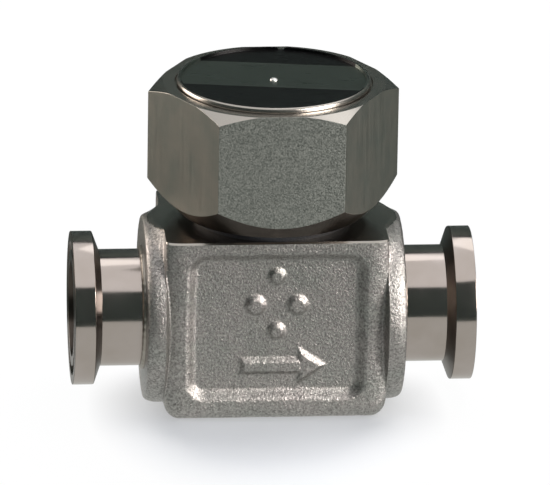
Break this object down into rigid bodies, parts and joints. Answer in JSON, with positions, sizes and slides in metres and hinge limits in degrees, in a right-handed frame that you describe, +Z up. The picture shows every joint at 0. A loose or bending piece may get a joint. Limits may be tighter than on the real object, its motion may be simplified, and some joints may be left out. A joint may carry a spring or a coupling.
{
  "type": "steam trap",
  "caption": "In-line disc steam trap with a screwed hexagon cap, round nameplate, cast block body and a clamp ferrule at each end.",
  "frame": {"origin": "on the cap's axis where it meets the flow axis in plan, at the level of the body's underside", "axes": "+X along the flow, from inlet to outlet; +Y to the back; +Z up the cap's axis"},
  "size_m": [0.065, 0.0352, 0.0545],
  "materials": {
    "cast_stainless": "shot-blasted investment-cast stainless steel",
    "turned_stainless": "fine-turned and polished stainless steel",
    "hex_stainless": "turned and drawn stainless hexagon",
    "weld_metal": "bright weld bead",
    "plate_metal": "satin nameplate with dark fields, no text",
    "module_steel": "machined hardened stainless steel",
    "bimetal": "thin bimetal strip",
    "graphite": "pressed graphite gasket",
    "screen_steel": "perforated stainless sheet"
  },
  "bodies": {
    "trap": {"trap_body": "cast_stainless", "inlet_ferrule": "turned_stainless", "outlet_ferrule": "turned_stainless", "inlet_weld_bead": "weld_metal", "outlet_weld_bead": "weld_metal", "valve_seat": "module_steel", "seat_inner_gasket": "graphite", "seat_outer_gasket": "graphite", "air_vent_ring": "bimetal", "disc_guide_ring": "module_steel", "inner_cap": "module_steel", "snap_ring": "module_steel", "strainer_screen": "screen_steel", "strainer_collar": "module_steel", "strainer_end_disc": "screen_steel"},
    "disc": {"valve_disc": "module_steel"},
    "seal": {"cap_gasket": "graphite"},
    "cap": {"hex_cap": "hex_stainless", "nameplate": "plate_metal", "nameplate_pin": "turned_stainless"}
  },
  "joints": [
    {"name": "disc_lift", "type": "slide", "parent": "trap", "child": "disc", "axis": [0, 0, 1], "range_m": [0, 0.0014]},
    {"name": "cap_rise", "type": "slide", "parent": "trap", "child": "seal", "axis": [0, 0, 1], "range_m": [0, 0.00601]},
    {"name": "cap_turn", "type": "hinge", "parent": "seal", "child": "cap", "pos_m": [0, 0, 0.0324], "axis": [0, 0, 1], "range_deg": [0, 1440]}
  ],
  "couplings": [
    {"joint": "cap_rise", "follows": "cap_turn", "m_per_rad": 0.00023873}
  ]
}
